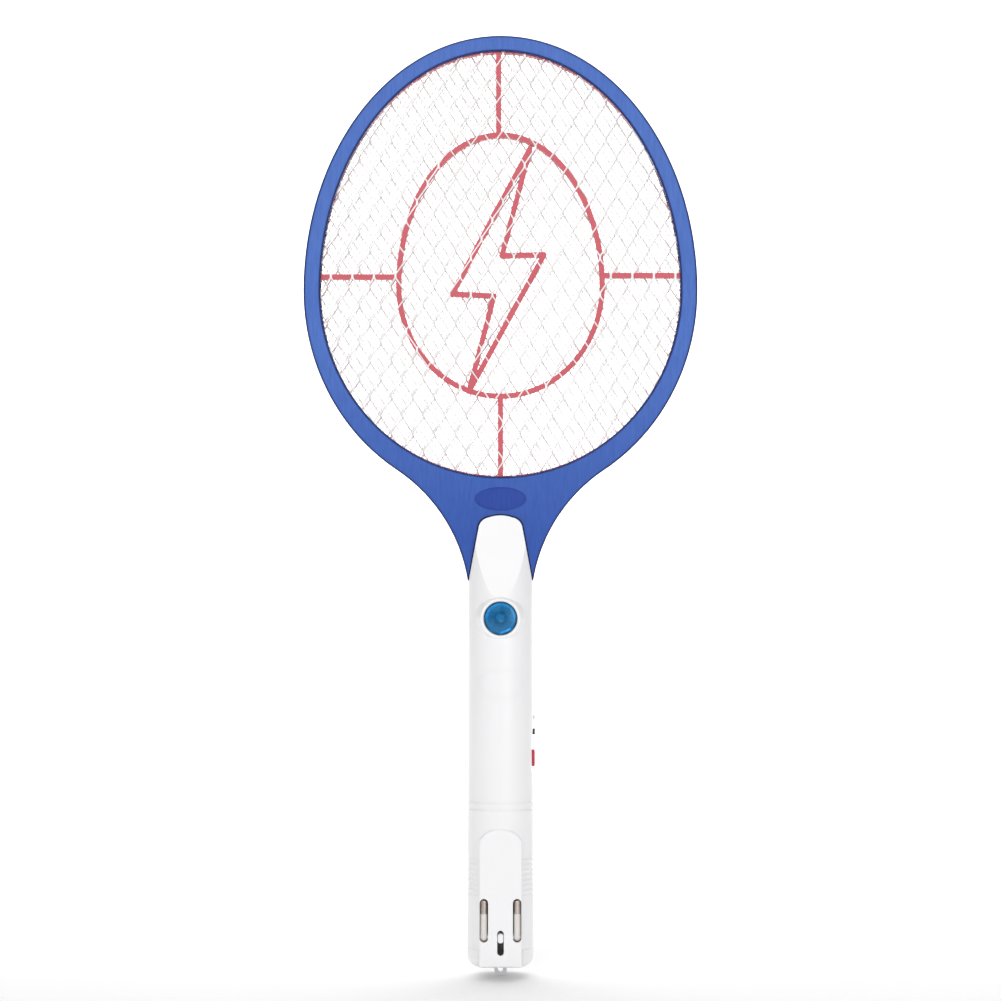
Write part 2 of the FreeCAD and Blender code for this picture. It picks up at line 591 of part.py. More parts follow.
def handle_front():
    blank = shell_blank(-1)
    lip = "-@handle_radius - @collar_rise"
    collar = turned([("0", "-10"), ("0", lip), ("@collar_radius - 2.4", lip),
                     ("@collar_radius", "-@handle_radius + 3.4"), ("@collar_radius", "-10")],
                    "y", z="@lamp_height")
    collar = rounded(collar, 1.0, lambda edge: edge.BoundBox.YMax < -14 and edge.BoundBox.XLength > 15)
    half, tall = size("emboss_half_width"), size("emboss_half_height")
    width, height = size("emboss_band"), size("emboss_height")
    band = plate(lying_oval(half + width, tall + width, height),
                 Part.Face(lying_oval(half, tall, height)))
    emboss = common(extruded(shape_of(band), "y", -30, -10),
                    rod("@handle_radius + @emboss_rise", "z", 140, 170))
    hollow = shell_hollow()
    inside = block(("-@pad_half_width + 1.8", "@pad_half_width - 1.8"),
                   ("-@handle_radius - @pad_rise + 1.9", "-5"), ("@cap_bottom + 2", "@pad_top - 9"))
    body = cut(fuse(blank, plug_pad(), collar, emboss), *hollow, inside)
    posts = fuse(*[boss(-1, 0, z, "@handle_radius - 1.2") for z in SHELL_SCREWS])
    pivot = {"y": "-@pivot_depth", "z": "@pivot_height"}
    half = "(@pin_spacing / 2)"
    pocket = rod("@hub_radius + 0.3", "x", "-@pad_half_width + 0.5", "@pad_half_width - 0.5", **pivot)
    posts = fuse(posts, *[saddle(place) for place in ("-@saddle_place", "@saddle_place")])
    body = cut(body, pocket)
    tools = [slot_tool(f"-{half}", "@slot_half_width", "@slot_bottom", "@slot_top"),
             slot_tool(half, "@slot_half_width", "@slot_bottom", "@slot_top"),
             slot_tool("0", "@tab_slot_half", "@tab_slot_bottom", "@tab_slot_top"),
             rod("@lens_radius + 0.1", "y", -30, -16, z="@lamp_height"),
             rod("@lens_radius - 0.4", "y", -17, -6, z="@lamp_height")]
    tools += [rod("1.1", "y", -9, 1, x=0, z=z) for z in SHELL_SCREWS]
    tools += [rod("1.1", "y", -13, -5, x=x, z=NECK_SCREW[1]) for x in (-NECK_SCREW[0], NECK_SCREW[0])]
    return cut(fuse(body, posts), *tools, *side_openings())


def handle_rear():
    body = cut(shell_blank(1), *shell_hollow())
    posts = [boss(1, 0, z, "15.9") for z in SHELL_SCREWS]
    posts += [rod(2.6, "y", "@board_face + @board_thick", "12.5", x=x, z=z) for x, z in BOARD_SCREWS]
    tools = [rod(1.5, "y", -1, 20, x=0, z=z) for z in SHELL_SCREWS]
    tools += [rod("@screw_head + 0.2", "y", 11, 20, x=0, z=z) for z in SHELL_SCREWS]
    tools += [rod("1.1", "y", 3, 10, x=x, z=z) for x, z in BOARD_SCREWS]
    for x in (-NECK_SCREW[0], NECK_SCREW[0]):
        tools.append(rod(1.5, "y", 4, 20, x=x, z=NECK_SCREW[1]))
        tools.append(rod("@screw_head + 0.2", "y", 9, 20, x=x, z=NECK_SCREW[1]))
    return cut(fuse(body, *posts), *tools, *side_openings())


def build_cap():
    """The end cap: a cup with a spigot, notched for the plug pad, and the lug it hangs by."""
    spigot = "@handle_radius - @handle_wall - 0.1"
    cup = turned([("0", "@cap_bottom"), ("@handle_radius", "@cap_bottom"),
                  ("@handle_radius", "@cap_top - 0.1"), (spigot, "@cap_top - 0.1"),
                  (spigot, "@cap_top + 3"), (f"{spigot} - 1.4", "@cap_top + 3"),
                  (f"{spigot} - 1.4", "@cap_bottom + 6"),
                  ("9", "@cap_bottom + 2"), ("0", "@cap_bottom + 2")])
    cup = rounded(cup, 5.6, lambda edge: edge.BoundBox.ZMax < size("cap_bottom") + 1e-3)
    notch = block(("-@pad_half_width - 0.1", "@pad_half_width + 0.1"), ("-20", "-7.9"),
                  ("@cap_bottom - 1", "@cap_top + 4"))
    half = "@lug_thick / 2"
    web = block(("-@lug_radius", "@lug_radius"), (f"-{half}", half), ("@lug_radius", "@cap_bottom + 0.5"))
    lug = fuse(rod("@lug_radius", "y", f"-{half}", half, z="@lug_radius"), web)
    hole = rod("@lug_hole", "y", "-5", "5", z="@lug_radius")
    node(cut(fuse(cut(cup, notch), lug), hole), "tail_cap")


def long_screw(x, z, tip, under_head, top):
    shank = "@screw_radius - 0.2"
    profile = [(0, tip), (shank, tip), (shank, under_head), ("@screw_head", under_head),
               ("@screw_head", f"{top} - 0.4"), ("@screw_head - 0.5", top), (0, top)]
    screw = turned(profile, "y", x=x, z=z)
    low, high = f"{top} - 0.9", f"{top} + 0.1"
    cross = [block((f"{x} - 1.5", f"{x} + 1.5"), (low, high), (f"{z} - 0.3", f"{z} + 0.3")),
             block((f"{x} - 0.3", f"{x} + 0.3"), (low, high), (f"{z} - 1.5", f"{z} + 1.5"))]
    return cut(screw, *cross)


def build_handle():
    node(handle_front(), "handle_front_shell")
    node(handle_rear(), "handle_rear_shell")
    screws = [long_screw(0, z, -8, 11, 13) for z in SHELL_SCREWS]
    screws += [long_screw(x, NECK_SCREW[1], -12, 9, 11) for x in (-NECK_SCREW[0], NECK_SCREW[0])]
    node(group(*screws), "handle_screws")


# lamp ----------------------------------------------------------------------------------------

def build_lamp():
    dome_radius = 40
    dome = common(rod("@lens_radius", "y", -20, -16, z="@lamp_height"),
                  ball(dome_radius, y=f"{dome_radius} - @handle_radius - 1.3", z="@lamp_height"))
    hollow = rod("@lens_radius - 1.2", "y", "-16.8", "-15", z="@lamp_height")
    node(cut(dome, hollow), "lamp_lens")
    dish = [("2.9", "7.8"), ("4.2", "7.8"), ("@lens_radius - 0.5", "15.9"), ("@lens_radius - 1.3", "15.9"),
            ("2.9", "8.9")]
    reflector = turned(dish, "y", z="@lamp_height")
    reflector.Placement.Rotation = FreeCAD.Rotation(V(1, 0, 0), 90)
    node(reflector, "lamp_reflector")
    led = turned([(0, 7.65), (2.8, 7.65), (2.8, 8.6), (2.5, 8.6), (2.5, 12.4), (2.2, 13.6), (1.4, 14.5),
                  (0.5, 14.9), (0, 14.9)], "y", z="@lamp_height")
    led.Placement.Rotation = FreeCAD.Rotation(V(1, 0, 0), 90)
    node(led, "lamp_led")
    node(rod(8, "y", -7.6, -6.4, z="@lamp_height"), "lamp_board")


# controls ------------------------------------------------------------------------------------

def build_controls():
    half_y, half_z = "(@trigger_wide / 2)", "(@trigger_tall / 2)"
    cap = block(("13", "@trigger_out"), (f"-{half_y}", half_y),
                (f"@trigger_height - {half_z}", f"@trigger_height + {half_z}"))
    cap = rounded(cap, 0.8, lambda edge: edge.BoundBox.XMin > 18)
    flange = block(("12.9", "14.2"), (f"-{half_y} - 1.2", f"{half_y} + 1.2"),
                   (f"@trigger_height - {half_z} - 1.1", f"@trigger_height + {half_z} + 1.1"))
    node(fuse(cap, flange), "trigger_button")
    centre = "@trigger_height"
    node(rod(1.2, "x", 9.2, 12.9, z=centre), "trigger_plunger")
    switch = block(("3.4", "11.2"), ("-3", "@board_face"), (f"{centre} - 4", f"{centre} + 4"))
    node(cut(switch, rod(1.5, "x", 7.4, 12, z=centre)), "trigger_switch")
    knob_y, knob_z = "(@knob_wide / 2)", "(@knob_tall / 2)"
    knob = block(("13", "@knob_out"), (f"-{knob_y}", knob_y),
                 (f"@knob_height - {knob_z}", f"@knob_height + {knob_z}"))
    furrows = [block(("@knob_out - 0.4", "@knob_out + 1"), ("-3", "3"),
                     (f"@knob_height + {dz} - 0.2", f"@knob_height + {dz} + 0.2"))
               for dz in (-0.8, 0, 0.8)]
    shield = block(("13", "13.9"), ("-3", "3"), ("@knob_height - 3.1", "@knob_height + 3.1"))
    stem = block(("9.6", "13.1"), ("-0.9", "0.9"), ("@knob_height - 1", "@knob_height + 1"))
    node(fuse(cut(knob, *furrows), shield, stem), "power_knob")
    body = block(("3.4", "12.4"), ("-3", "@board_face"), ("123.2", "135"))
    slot = block(("9.2", "13"), ("-1.2", "1.2"),
                 ("@knob_height - 1.4 - @knob_travel", "@knob_height + 1.4"))
    node(cut(body, slot), "power_switch")
    height = "@indicator_height"
    lamp = fuse(rod("@indicator_radius", "x", 10.6, 17.1, z=height),
                ball("@indicator_radius", x=17.1, z=height),
                rod("1.9", "x", 10.2, 11.2, z=height))
    legs, feet = [], []
    for dz in (-0.9, 0.9):
        across = (f"{height} + {dz} - 0.25", f"{height} + {dz} + 0.25")
        legs.append(block(("6.6", "10.3"), ("-0.25", "0.25"), across))
        feet.append(block(("6.6", "7.1"), ("-0.25", "@board_face"), across))
    node(fuse(lamp, *legs, *feet), "indicator_led")


# electronics ---------------------------------------------------------------------------------

BOARD_SCREWS = ((11.0, 103.5), (-11.0, 172.0))


def axial(heights, x, radius, length, face):
    """Axial parts lying on a board, each a body with bent leads down to the board's face."""
    pieces = []
    y = f"{face} - {radius} - 0.1"
    for z in heights:
        wire = rod(0.3, "x", x - length / 2 - 2, x + length / 2 + 2, y=y, z=z)
        ends = [x + side * (length / 2 + 1.6) for side in (-1, 1)]
        legs = [block((end - 0.2, end + 0.2), (y, face), (z - 0.2, z + 0.2)) for end in ends]
        pieces.append(fuse(rod(radius, "x", x - length / 2, x + length / 2, y=y, z=z), wire, *legs))
    return group(*pieces)


def build_transformer():
    """A frame-shaped ferrite core with the bobbin and its winding on one leg."""
    core = cut(block(("-11", "7"), ("-7", "0.4"), ("142", "158")),
               block(("-8.6", "-4.2"), ("-8", "2"), ("144.8", "155.2")),
               block(("0.2", "4.6"), ("-8", "2"), ("144.8", "155.2")))
    node(core, "transformer_core")
    tube = block(("-4.9", "0.9"), ("-7.7", "1.1"), ("144.9", "155.1"))
    flanges = [block(("-8.4", "4.4"), ("-9.4", "2.9"), pair)
               for pair in (("144.9", "145.7"), ("154.3", "155.1"))]
    leg = block(("-4.25", "0.25"), ("-7.05", "0.45"), ("140", "160"))
    node(cut(fuse(tube, *flanges), leg), "transformer_bobbin")
    coil = rounded(block(("-8.2", "4.2"), ("-9.2", "2.6"), ("145.75", "154.25")), 1.5,
                   lambda edge: edge.BoundBox.ZLength > 5)
    hole = block(("-4.95", "0.95"), ("-7.75", "1.15"), ("140", "160"))
    node(cut(coil, hole), "transformer_winding")


def build_electronics():
    face = "@board_face"
    holes = [rod(1.2, "y", 0, 8, x=x, z=z) for x, z in BOARD_SCREWS]
    board = block(("-@board_half_width", "@board_half_width"), (face, f"{face} + @board_thick"),
                  ("@board_bottom", "@board_top"))
    notch = block(("11.2", "@board_half_width + 1"), ("0", "8"),
                  ("@trigger_height - 6", "@trigger_height + 6"))
    node(cut(board, notch, *holes), "main_board")
    screws = []
    profile = [(0, 0), (1.6, 0.5), (2.0, 1.2), (2.0, 2.95), (1.1, 2.95), (1.1, 9.6), (0, 9.6)]
    for x, z in BOARD_SCREWS:
        screws.append(turned(profile, "y", x=x, z=z))
    node(group(*screws), "board_screws")
    build_transformer()
    film = rounded(block(("-9", "9"), ("-4.5", face), ("161", "169")), 0.8,
                   lambda edge: edge.BoundBox.YMax < 0)
    node(film, "hv_capacitor")
    discs = []
    for x in (-11, -6.6):
        for z in (128, 136):
            disc = rounded(rod(3.2, "x", x - 1.3, x + 1.3, y=-0.6, z=z), 0.8,
                           lambda edge: edge.BoundBox.ZLength > 6)
            discs.append(fuse(disc, rod(0.3, "y", "1", face, x=x, z=z)))
    node(group(*discs), "multiplier_capacitors")
    node(axial((127, 131, 135), 0, 1.3, 2.4, face), "hv_diodes")
    node(axial((116, 119, 122), -7.5, 1.0, 5.0, face), "resistors")
    tab = cut(block(("-12", "-2"), ("1.7", face), ("109.5", "113.6")),
              rod(1.5, "y", 0, 5, x=-7, z=111.4))
    node(fuse(block(("-12", "-2"), ("-1.4", face), ("101.5", "109.5")), tab), "transistor")
    can = rod(3.8, "z", "101.2", "111.4", x=3.6, y="-1")
    node(rounded(can, 0.5, lambda edge: edge.BoundBox.XLength > 7), "smoothing_capacitor")
    node(block(("-7.6", "7.6"), ("-4", face), ("170", "@board_top")), "lead_connector")


def build_power():
    half = "(@battery_side / 2)"
    top = "@battery_bottom + @battery_tall"
    case = rounded(block((f"-{half}", half), (f"-{half}", half), ("@battery_bottom", top)), 1.5,
                   lambda edge: edge.BoundBox.ZLength > 30)
    node(case, "battery")
    tabs = [block((x - 2.2, x + 2.2), ("1", "1.8"), (top, f"{top} + 3.6")) for x in (-7, 7)]
    node(group(*tabs), "battery_terminals")
    wires = [rod(0.6, "z", f"{top} + 0.4", "@board_bottom - 0.1", x=x, y=2.4) for x in (-7, 7)]
    node(group(*wires), "battery_leads")
    board = block(("-12", "12"), ("@charger_face", "@charger_face + 1.2"), ("17.5", "@charger_top"))
    node(board, "charger_board")
    film = rounded(block(("-8", "8"), ("@charger_face + 1.2", "@charger_face + 8"), ("27", "36.5")), 0.8,
                   lambda edge: edge.BoundBox.YMin > 7)
    node(film, "dropper_capacitor")
    node(axial((19.5, 22.5, 25.5), 0, 1.2, 5, "@charger_face"), "charger_diodes")
    wires = [rod(0.6, "z", "35", "@battery_bottom - 0.05", x=x, y="@charger_face - 0.65")
             for x in (-10, 10)]
    node(group(*wires), "charger_leads")


# folding plug --------------------------------------------------------------------------------

def build_plug():
    """The plug at rest: pins folded up along the handle, thumb tab facing out."""
    pivot = {"y": "-@pivot_depth", "z": "@pivot_height"}
    half = "(@pin_spacing / 2)"
    end = "@pad_half_width - 0.7"
    reach = f"({half} - @hub_radius - 0.05)"
    barrel = rod("@yoke_radius", "x", f"-{reach}", reach, **pivot)
    necks = []
    for place in ("-@saddle_place", "@saddle_place"):
        low, high = f"{place} - 1", f"{place} + 1"
        necks.append(cut(rod("@yoke_radius + 1", "x", low, high, **pivot),
                         rod("@neck_radius", "x", low, high, **pivot)))
    tab = block(("-@tab_width / 2", "@tab_width / 2"), ("-@pivot_depth - @tab_reach", "-@pivot_depth"),
                ("@pivot_height - @tab_tall / 2", "@pivot_height + @tab_tall / 2"))
    tab = rounded(tab, 1.3, lambda edge: edge.BoundBox.YLength > 5)
    tab = rounded(tab, 0.7, lambda edge: edge.BoundBox.YMax < -19)
    bore = rod("@axle_radius", "x", -20, 20, **pivot)
    foot = "@pivot_height + @sleeve_start"
    node(cut(fuse(barrel, tab), bore, *necks), "plug_yoke")
    axle = rod("@axle_radius", "x", f"-({end})", end, **pivot)
    pins, sleeves = [], []
    middle = "@pivot_height + 12.5"
    for x in (f"-{half}", half):
        tip = "@pivot_height + @pin_length"
        core = rod("@pin_radius - 0.6", "z", foot, middle, x=x, y="-@pivot_depth")
        head = rod("@pin_radius", "z", middle, tip, x=x, y="-@pivot_depth")
        head = rounded(head, 1.1, lambda edge: edge.BoundBox.ZMin > 42)
        pins.append(cut(fuse(core, head), axle))
        sleeve = fuse(rod("@pin_radius - 0.05", "z", foot, middle, x=x, y="-@pivot_depth"),
                      ball("@hub_radius", x=x, **pivot))
        sleeve = cut(sleeve, rod("@pin_radius - 0.6", "z", foot, "40", x=x, y="-@pivot_depth"))
        sleeves.append(cut(sleeve, axle))
    node(group(*pins), "plug_pins")
    node(group(*sleeves), "pin_sleeves")
    node(axle, "plug_axle")
    contacts = []
    for x in (f"-{half}", half):
        across = (f"{x} - 1.5", f"{x} + 1.5")
        contacts.append(fuse(block(across, ("-11.2", "-10.9"), ("16", "28")),
                             block(across, ("-10.9", "0"), ("27.7", "28"))))
    node(group(*contacts), "plug_contacts")


def write_parts():
    doc.recompute()
    for item in doc.Objects:
        if "Invalid" in item.State or "Error" in item.State:
            raise SystemExit(f"{item.Name} ({item.Label}) is {item.State}")
    os.makedirs("parts", exist_ok=True)
    for item in NODES:
        shape = item.Shape
        if shape.isNull() or not shape.isValid() or not shape.Solids:
            raise SystemExit(f"{item.Label} has no valid shape")
        shape.exportStep(f"parts/{item.Label}.step")
        print(f"{item.Label}: {len(shape.Solids)} solid(s), {shape.Volume:.0f} mm3")


build_frame()
build_meshes()
build_grids()
build_leads()
build_handle()
build_cap()
build_lamp()
build_controls()
build_electronics()
build_power()
build_plug()
write_parts()
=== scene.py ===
import math

import bmesh
import bpy
import numpy as np
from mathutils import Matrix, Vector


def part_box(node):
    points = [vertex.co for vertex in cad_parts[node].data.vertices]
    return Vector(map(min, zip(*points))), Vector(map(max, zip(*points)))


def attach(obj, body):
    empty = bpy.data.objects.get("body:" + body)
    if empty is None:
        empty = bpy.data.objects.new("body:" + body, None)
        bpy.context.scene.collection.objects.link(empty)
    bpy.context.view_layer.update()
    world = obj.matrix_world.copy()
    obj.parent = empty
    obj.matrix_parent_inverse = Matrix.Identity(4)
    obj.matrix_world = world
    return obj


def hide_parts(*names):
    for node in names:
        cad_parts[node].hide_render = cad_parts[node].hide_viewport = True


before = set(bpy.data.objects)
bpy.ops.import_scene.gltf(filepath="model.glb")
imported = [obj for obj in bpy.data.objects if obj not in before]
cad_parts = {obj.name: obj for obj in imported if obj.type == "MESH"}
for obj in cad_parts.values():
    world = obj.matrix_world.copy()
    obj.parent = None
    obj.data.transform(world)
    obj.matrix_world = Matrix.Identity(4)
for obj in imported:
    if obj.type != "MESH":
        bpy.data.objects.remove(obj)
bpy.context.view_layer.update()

MM = 0.001

# Places and sizes of the racket that the fine pieces follow, in metres, as the CAD model has them.
HEAD_CENTRE = 365.8 * MM
OPENING = (96.1 * MM, 127.5 * MM, 99.3 * MM)   # half width, rise and drop of the frame's opening
MESH_PITCH = (11.5 * MM, 19.7 * MM)
FINE_PITCH = (2.9 * MM, 4.9 * MM)
MESH_ORIGIN = (1.4 * MM, 373.6 * MM)           # a crossing of the front mesh, across and up
MESH_BOND = 1.6 * MM                           # height of a crossing of the outer meshes
MESH_TUCK = 3 * MM                             # how far the meshes reach behind the frame
LAMP_HEIGHT = 191.4 * MM

# Where the frame's blue changes and where painted shade darkens the frame's flanks and the lens's rim, in
# metres.
NECK_BLEND = (0.235, 0.335)                    # heights between which it lightens
FLANK_SHADE_BLEND = (5.6 * MM, 5.9 * MM)             # depths below which painted shade darkens the flank, blending into the face's blue
BADGE = (254.6 * MM, 13.9 * MM, 6.4 * MM)      # height, half width and half height of the oval
LENS_SHADE_EDGE = 8.6 * MM                           # radius at which the painted shade of the lens's dark rim begins

# How the strands of the meshes are bent.
STRAND_TILT = 0.35                             # turn about the strand's own length, in radians
STRAND_WAIST = 0.18                            # share of its width that a strand loses halfway
BOND_WIDENING = 0.8                            # half width of a crossing, in strand widths
WAVE_ACROSS, WAVE_UP = 41, 33                  # slow wave of the inner mesh, in radians per metre
WAVE_START = 3


# camera, floor and light ---------------------------------------------------------------------

def make_camera():
    data = bpy.data.cameras.new("camera")
    data.sensor_width = 36.0
    data.lens = 100.8
    camera = bpy.data.objects.new("camera", data)
    camera.location = (0.0, -1.5, 253.75 * MM)
    camera.rotation_euler = (math.radians(90), 0, 0)
    bpy.context.collection.objects.link(camera)
    bpy.context.scene.camera = camera


def area_light(name, place, target, size, watts):
    data = bpy.data.lights.new(name, "AREA")
    data.shape = "RECTANGLE"
    data.size, data.size_y = size
    data.energy = watts
    lamp = bpy.data.objects.new(name, data)
    lamp.location = place
    aim = np.array(target) - np.array(place)
    yaw = math.atan2(aim[1], aim[0]) - math.pi / 2
    tilt = math.atan2(math.hypot(aim[0], aim[1]), -aim[2])
    lamp.rotation_euler = (tilt, 0, yaw)
    bpy.context.collection.objects.link(lamp)


def make_studio():
    scene = bpy.context.scene
    scene.view_settings.view_transform = "Standard"
    world = bpy.data.worlds.new("studio")
    scene.world = world
    world.use_nodes = True
    back = world.node_tree.nodes["Background"]
    back.inputs["Color"].default_value = (1, 1, 1, 1)
    back.inputs["Strength"].default_value = 0.38
    middle = (0, 0, 0.25)
    area_light("key", (-0.5, -1.9, 1.2), middle, (1.2, 1.2), 15)
    area_light("fill", (0.8, -1.8, 0.5), middle, (1.0, 1.4), 8.5)
    area_light("rim", (0.4, 1.4, 1.2), middle, (1.6, 0.8), 2)
    area_light("top", (0.0, 1.2, 2.4), (0.0, 1.3, 0.0), (3.0, 2.4), 18)
    area_light("wall", (0.0, 2.0, 3.0), (0.0, 5.0, 0.4), (5.0, 2.0), 300)


def make_floor():
    """A pale sweep: floor and wall in one sheet with a wide bend between them."""
    half, front, back, bend, top = 6.0, -6.0, 3.0, 3.0, 6.0
    steps, below = 12, 0.2 * MM
    profile = [(front, 0.0)]
    for i in range(steps + 1):
        turn = math.radians(90 * i / steps)
        profile.append((back + bend * math.sin(turn), bend * (1 - math.cos(turn))))
    profile.append((back + bend, top))
    points = [(x, y, z - below) for y, z in profile for x in (-half, half)]
    faces = [(2 * i, 2 * i + 1, 2 * i + 3, 2 * i + 2) for i in range(len(profile) - 1)]
    data = bpy.data.meshes.new("floor")
    data.from_pydata(points, [], faces)
    data.shade_smooth()
    floor = bpy.data.objects.new("floor", data)
    bpy.context.collection.objects.link(floor)
    data.materials.append(plain_sweep())


# materials -----------------------------------------------------------------------------------

class Nodes:
    """A small helper that builds one node material."""

    def __init__(self, name):
        self.material = bpy.data.materials.new(name)
        self.material.use_nodes = True
        self.tree = self.material.node_tree
        self.shader = self.tree.nodes["Principled BSDF"]
        self.place = self.add("ShaderNodeTexCoord").outputs["Object"]

    def add(self, kind, **settings):
        made = self.tree.nodes.new(kind)
        for name, value in settings.items():
            setattr(made, name, value)
        return made

    def link(self, start, end):
        self.tree.links.new(start, end)

    def noise(self, scale, detail=3.0, stretch=(1, 1, 1)):
        mapping = self.add("ShaderNodeMapping")
        mapping.inputs["Scale"].default_value = stretch
        self.link(self.place, mapping.inputs["Vector"])
        made = self.add("ShaderNodeTexNoise")
        made.inputs["Scale"].default_value = scale
        made.inputs["Detail"].default_value = detail
        self.link(mapping.outputs["Vector"], made.inputs["Vector"])
        return made.outputs["Fac"]

    def ramp(self, factor, low, high, start=0.3, end=0.7):
        made = self.add("ShaderNodeValToRGB")
        for stop, place, colour in zip(made.color_ramp.elements, (start, end), (low, high)):
            stop.position = place
            stop.color = (*colour, 1)
        self.link(factor, made.inputs["Fac"])
        return made.outputs["Color"]

    def scaled(self, value, start, end, low=0.0, high=1.0):
        """The value's place between start and end, laid out from low to high."""
        made = self.add("ShaderNodeMapRange")
        made.inputs["From Min"].default_value = start
        made.inputs["From Max"].default_value = end
        made.inputs["To Min"].default_value = low
        made.inputs["To Max"].default_value = high
        self.link(value, made.inputs["Value"])
        return made.outputs["Result"]

    def spread(self, factor, low, high):
        """A noise's middle range laid out from low to high."""
        return self.scaled(factor, 0.3, 0.7, low, high)

    def mix(self, factor, low, high):
        made = self.add("ShaderNodeMix", data_type="RGBA")
        self.link(factor, made.inputs["Factor"])
        self.link(low, made.inputs[6])
        self.link(high, made.inputs[7])
        return made.outputs[2]

    def beyond(self, height, half_width, half_height, soft):
        """0 inside an oval seen from the front, 1 outside it."""
        oval = self.add("ShaderNodeMapping")
        oval.inputs["Location"].default_value = (0, 0, -height / half_height)
        oval.inputs["Scale"].default_value = (1 / half_width, 0, 1 / half_height)
        self.link(self.place, oval.inputs["Vector"])
        reach = self.add("ShaderNodeVectorMath", operation="LENGTH")
        self.link(oval.outputs["Vector"], reach.inputs[0])
        return self.scaled(reach.outputs["Value"], soft, 1.0)

    def bump(self, height, distance, strength=1.0, under=None):
        made = self.add("ShaderNodeBump")
        made.inputs["Distance"].default_value = distance
        made.inputs["Strength"].default_value = strength
        self.link(height, made.inputs["Height"])
        if under is not None:
            self.link(under, made.inputs["Normal"])
        return made.outputs["Normal"]

    def set(self, **values):
        for name, value in values.items():
            self.shader.inputs[name.replace("_", " ")].default_value = value

    def feed(self, **sources):
        for name, source in sources.items():
            self.link(source, self.shader.inputs[name.replace("_", " ")])


def shaded(colour, amount):
    return tuple(min(1.0, channel * amount) for channel in colour)


def plastic(name, colour, roughness, grain=0.9 * MM, depth=0.02 * MM, variation=0.06, **extra):
    """Moulded plastic: faint colour drift, a spark-eroded grain and slightly uneven gloss."""
    made = Nodes(name)
    dress_plastic(made, made.ramp(made.noise(14.0, 2.0), shaded(colour, 1 - variation),
                                  shaded(colour, 1 + variation)), roughness, grain, depth)
    made.set(**extra)
    return made.material


def dress_plastic(made, colour, roughness, grain, depth):
    """Feeds a plastic's colour, uneven gloss and grain to its shader."""
    made.feed(Base_Color=colour)
    made.feed(Roughness=made.spread(made.noise(60.0, 4.0), roughness * 0.85, roughness * 1.15))
    made.feed(Normal=made.bump(made.noise(1 / grain, 2.0), depth))


def frame_blue(name, badge):
    """The racket frame's blue: deeper at the neck and, if asked for, on the badge, with painted shade
    darkening the flanks.
    """
    made = Nodes(name)
    split = made.add("ShaderNodeSeparateXYZ")
    made.link(made.place, split.inputs["Vector"])
    speckle = made.noise(700.0, 2.0, (1.0, 1.0, 0.15))
    neck = made.ramp(speckle, (0.021, 0.081, 0.390), (0.027, 0.095, 0.435))
    ring = made.ramp(speckle, (0.056, 0.142, 0.490), (0.068, 0.166, 0.560))
    face = made.mix(made.scaled(split.outputs["Z"], *NECK_BLEND), neck, ring)
    depth = made.add("ShaderNodeMath", operation="ABSOLUTE")
    made.link(split.outputs["Y"], depth.inputs[0])
    # painted shade: near-black blue on the frame's flanks, for dark outlines round its edges
    side = made.ramp(speckle, (0.010, 0.022, 0.130), (0.014, 0.030, 0.160))
    colour = made.mix(made.scaled(depth.outputs["Value"], *FLANK_SHADE_BLEND), side, face)
    if badge:
        sunk = made.ramp(speckle, (0.012, 0.053, 0.335), (0.016, 0.062, 0.375))
        colour = made.mix(made.beyond(*BADGE, 0.98), sunk, colour)
    dress_plastic(made, colour, 0.5, 0.7 * MM, 0.03 * MM)
    made.set(Specular_IOR_Level=0.35)
    return made.material


def metal(name, colour, roughness, grain=0.4 * MM, depth=0.004 * MM, stretch=(1, 1, 1), **extra):
    """Bare metal: fine drawing marks, with tone and gloss that drift along the piece."""
    made = Nodes(name)
    drift = made.noise(90.0, 3.0)
    made.feed(Base_Color=made.ramp(drift, shaded(colour, 0.9), shaded(colour, 1.08)))
    made.feed(Roughness=made.spread(made.noise(300.0, 3.0, stretch), roughness * 0.75, roughness * 1.3))
    made.feed(Normal=made.bump(made.noise(1 / grain, 3.0, stretch), depth))
    made.set(**{"Metallic": 1.0, **extra})
    return made.material


def plain_sweep():
    made = Nodes("sweep_paper")
    made.feed(Base_Color=made.ramp(made.noise(3.0), (0.93, 0.93, 0.93), (0.95, 0.95, 0.95)))
    made.set(Roughness=0.9)
    return made.material


def lens_plastic():
    """Clear blue plastic, with painted shade as a dark ring round its edge."""
    made = Nodes("lens_blue")
    tone = made.noise(150.0, 2.0)
    clear = made.ramp(tone, (0.15, 0.61, 0.98), (0.20, 0.67, 1.0))
    # painted shade: a near-black ring round the lens's edge
    rim = made.ramp(tone, (0.002, 0.02, 0.05), (0.004, 0.03, 0.07))
    painted_rim_shade = made.beyond(LAMP_HEIGHT, LENS_SHADE_EDGE, LENS_SHADE_EDGE, 0.96)
    made.feed(Base_Color=made.mix(painted_rim_shade, clear, rim))
    made.feed(Normal=made.bump(made.noise(260.0, 2.0), 0.012 * MM))
    made.set(Roughness=0.02, IOR=1.34, Transmission_Weight=1.0)
    return made.material


def clear_plastic(name, colour, clearness):
    """Moulded lamp body, from milky to clear."""
    made = Nodes(name)
    made.feed(Base_Color=made.ramp(made.noise(200.0), shaded(colour, 0.93), colour))
    made.feed(Normal=made.bump(made.noise(700.0, 2.0), 0.01 * MM))
    made.set(Roughness=0.08, IOR=1.5, Transmission_Weight=clearness)
    return made.material


def board_green():
    """Solder mask with faint copper tracks under it."""
    made = Nodes("solder_mask")
    tracks = made.add("ShaderNodeTexBrick")
    tracks.inputs["Scale"].default_value = 90.0
    tracks.inputs["Mortar Size"].default_value = 0.06
    tracks.inputs["Color1"].default_value = (0.02, 0.16, 0.06, 1)
    tracks.inputs["Color2"].default_value = (0.02, 0.12, 0.05, 1)
    tracks.inputs["Mortar"].default_value = (0.05, 0.26, 0.10, 1)
    made.link(made.place, tracks.inputs["Vector"])
    made.feed(Base_Color=tracks.outputs["Color"])
    made.feed(Normal=made.bump(made.noise(900.0), 0.02 * MM))
    made.set(Roughness=0.35)
    return made.material


